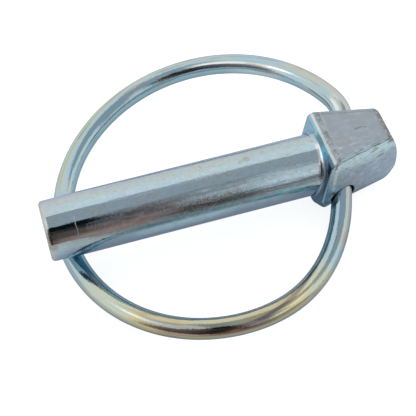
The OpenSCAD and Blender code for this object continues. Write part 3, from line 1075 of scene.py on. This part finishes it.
TOP_CARD = [(-75, 108, 300), (340, 108, 300), (340, -152, 300), (-75, -152, 300)]
TOP_CARD_COLOUR = (0.37, 0.405, 0.445)
LEFT_CARD = [(-320, -60, 300), (-215, -60, 300), (-215, 60, 300), (-320, 60, 300)]
LEFT_CARD_STRENGTH = 1.4
CAMERA_CARD = [(-60, -85, 195), (-12, -85, 195), (-12, -114, 138), (-60, -114, 138)]
CAMERA_CARD_COLOUR = (0.004, 0.006, 0.007)
FRONT_CARD = [(-900, -320, 650), (500, -320, 650), (500, -320, -6), (-900, -320, -6)]

# Shades of the front card at places along X in millimetres, in three rows that pass into each other
# between heights in metres

SHADES_LEFT = -850.0
SHADES_RIGHT = 200.0
UPPER_ROW_Z = (0.045, 0.130)
TOP_ROW_Z = (0.190, 0.300)
TOP_SHADES = [
    (-850, (0.60, 0.60, 0.60)), (-700, (0.30, 0.28, 0.30)), (-375, (0.18, 0.17, 0.18)),
    (-200, (0.11, 0.105, 0.11)), (-88, (0.03, 0.03, 0.035)), (-50, (0.10, 0.08, 0.08)),
    (-15, (0.01, 0.01, 0.012)), (2, (0.05, 0.05, 0.055)), (22, (0.20, 0.19, 0.20)),
    (45, (0.30, 0.31, 0.34)), (67, (0.38, 0.405, 0.44)), (85, (0.50, 0.54, 0.57)),
    (100, (0.66, 0.70, 0.73)), (150, (0.70, 0.74, 0.76)), (185, (0.36, 0.39, 0.41))]
UPPER_SHADES = [
    (-850, (0.60, 0.60, 0.60)), (-600, (0.12, 0.12, 0.125)), (-300, (0.16, 0.125, 0.13)),
    (-170, (0.06, 0.055, 0.06)), (-105, (0.02, 0.02, 0.022)), (-60, (0.06, 0.05, 0.048)),
    (-24, (0.12, 0.09, 0.078)), (-8, (0.16, 0.12, 0.115)), (4, (0.30, 0.21, 0.20)),
    (18, (0.27, 0.20, 0.195)), (34, (0.30, 0.28, 0.29)), (48, (0.52, 0.52, 0.56)),
    (76, (0.72, 0.78, 0.83)), (110, (0.78, 0.80, 0.82))]
LOWER_SHADES = [
    (-850, (0.60, 0.60, 0.60)), (-600, (0.42, 0.41, 0.40)), (-300, (0.15, 0.11, 0.11)),
    (-130, (0.045, 0.04, 0.04)), (-50, (0.14, 0.11, 0.11)), (-30, (0.40, 0.27, 0.235)),
    (-5, (0.37, 0.245, 0.22)), (12, (0.22, 0.15, 0.145)), (34, (0.09, 0.07, 0.06)),
    (58, (0.19, 0.20, 0.21)), (80, (0.19, 0.20, 0.22)), (110, (0.30, 0.31, 0.33))]


def shades(s, across, stops):
    """A colour ramp with its stops at places along X."""
    made = s.add("ShaderNodeValToRGB", {0: across})
    marks = made.color_ramp.elements
    while len(marks) < len(stops):
        marks.new(0.5)
    for mark, (at, colour) in zip(marks, stops):
        mark.position = (at - SHADES_LEFT) / (SHADES_RIGHT - SHADES_LEFT)
        mark.color = (*colour, 1.0)
    return made.outputs["Color"]


def front_shades(s):
    """The room in front of the part: dark by the camera, bright to the right, brown below."""
    x, _, z = s.position()
    across = s.ramp_line(x, SHADES_LEFT * MM, SHADES_RIGHT * MM, 0.0, 1.0)
    lower = shades(s, across, LOWER_SHADES)
    seen = s.mix(s.ramp(z, *UPPER_ROW_Z), lower, shades(s, across, UPPER_SHADES))
    return s.mix(s.ramp(z, *TOP_ROW_Z), seen, shades(s, across, TOP_SHADES))


def card(name, corners, colour=None, strength=1.0):
    """A card that only the metal's reflections see. Without a colour it has the front shades."""
    obj = add_quad(name, [Vector(corner) * MM for corner in corners])
    material = bpy.data.materials.new(name)
    s = Nodes(material)
    seen = (*colour, 1.0) if colour else front_shades(s)
    s.finish(s.add("ShaderNodeEmission", {"Color": seen, "Strength": strength}))
    obj.data.materials.append(material)
    obj.visible_camera = False
    obj.visible_diffuse = False
    obj.visible_shadow = False


card("card_front_top", TOP_CARD, TOP_CARD_COLOUR)
card("card_left", LEFT_CARD, WHITE, LEFT_CARD_STRENGTH)
card("card_camera", CAMERA_CARD, CAMERA_CARD_COLOUR)
card("card_front", FRONT_CARD)

# Light: an even sky and one softbox

SKY_TO_METAL = 0.82
SKY_LIGHT = 0.35
BOX_PLACE = (60, 260, 320)
BOX_AIM = (-15, 0, 0)
BOX_SIZE = (400, 300)
BOX_POWER = 0.55


def make_sky():
    world = bpy.data.worlds.new("studio")
    bpy.context.scene.world = world
    s = Nodes(world)
    path = s.add("ShaderNodeLightPath")
    to_metal = s.times(path.outputs["Is Glossy Ray"], SKY_TO_METAL - SKY_LIGHT)
    to_camera = s.times(path.outputs["Is Camera Ray"], 1 - SKY_LIGHT)
    level = s.plus(to_camera, to_metal, SKY_LIGHT)
    sky = s.add("ShaderNodeBackground", {"Color": (*WHITE, 1.0), "Strength": level})
    s.finish(sky, "ShaderNodeOutputWorld")


def make_softbox():
    light = bpy.data.lights.new("softbox_back", "AREA")
    light.shape = "RECTANGLE"
    light.size = BOX_SIZE[0] * MM
    light.size_y = BOX_SIZE[1] * MM
    light.energy = BOX_POWER
    box = add_object("softbox_back", light)
    box.location = Vector(BOX_PLACE) * MM
    box.visible_glossy = False
    box.rotation_euler = (Vector(BOX_AIM) - Vector(BOX_PLACE)).to_track_quat("-Z", "Y").to_euler()


make_sky()
make_softbox()

# Camera: place in millimetres, turn in degrees

CAMERA_PLACE = (-38.47, -106.13, 162.61)
CAMERA_TURN = (32.85, 3.288, -16.728)
CAMERA_LENS = 104.486
CAMERA_SENSOR = 36.0
CAMERA_NEAR = 0.01
CAMERA_FAR = 20.0


def make_camera():
    camera = bpy.data.cameras.new("camera")
    camera.sensor_fit = "AUTO"
    camera.sensor_width = CAMERA_SENSOR
    camera.lens = CAMERA_LENS
    camera.clip_start = CAMERA_NEAR
    camera.clip_end = CAMERA_FAR
    holder = add_object("camera", camera)
    holder.location = Vector(CAMERA_PLACE) * MM
    holder.rotation_euler = [math.radians(angle) for angle in CAMERA_TURN]
    bpy.context.scene.camera = holder


make_camera()
bpy.context.scene.view_settings.view_transform = "Standard"
